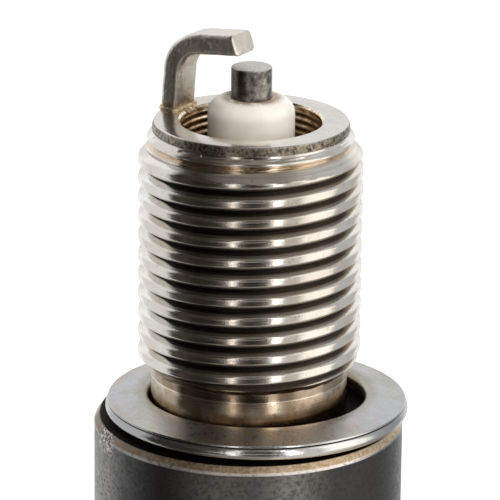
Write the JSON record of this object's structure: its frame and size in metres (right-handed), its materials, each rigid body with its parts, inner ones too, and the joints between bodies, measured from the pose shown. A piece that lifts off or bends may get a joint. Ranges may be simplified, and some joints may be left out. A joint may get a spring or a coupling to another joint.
{
  "type": "spark plug",
  "caption": "Long-reach spark plug: threaded shell, loose folded gasket, hexagon, ribbed ceramic insulator, hooked ground electrode over a projecting centre electrode, screwed terminal nut.",
  "frame": {"origin": "centre of the shell's gasket seat, on the plug's axis at the top of the barrel", "axes": "+Z along the plug's axis towards the firing end, +X through a corner of the hexagon, +Y square to two of its flats"},
  "size_m": [0.024, 0.0208, 0.0776],
  "materials": {
    "nickel_plated_steel": "satin nickel plate",
    "strap_alloy": "satin, heat-tinted at the weld",
    "zinc_plated_steel": "satin zinc plate",
    "alumina": "glazed body, matt nose",
    "electrode_alloy": "dull, mottled",
    "copper": "drawn",
    "packing_steel": "plain",
    "talc": "pressed powder",
    "conductive_glass": "fused",
    "resistor_mix": "fused",
    "stud_steel": "plated",
    "nut_steel": "bright plate"
  },
  "bodies": {
    "plug": {"shell": "nickel_plated_steel", "ground_electrode": "strap_alloy", "insulator": "alumina", "centre_electrode": "electrode_alloy", "copper_core": "copper", "seat_washer": "packing_steel", "lower_packing_ring": "packing_steel", "talc_seal": "talc", "upper_packing_ring": "packing_steel", "lower_glass_seal": "conductive_glass", "resistor": "resistor_mix", "upper_glass_seal": "conductive_glass", "terminal_stud": "stud_steel"},
    "gasket": {"gasket": "zinc_plated_steel"},
    "terminal_nut": {"terminal_nut": "nut_steel"}
  },
  "joints": [
    {"name": "gasket_float", "type": "slide", "parent": "plug", "child": "gasket", "axis": [0, 0, 1], "range_m": [0, 0.0019]},
    {"name": "terminal_nut_off", "type": "slide", "parent": "plug", "child": "terminal_nut", "axis": [0, 0, -1], "range_m": [0, 0.0083]}
  ]
}
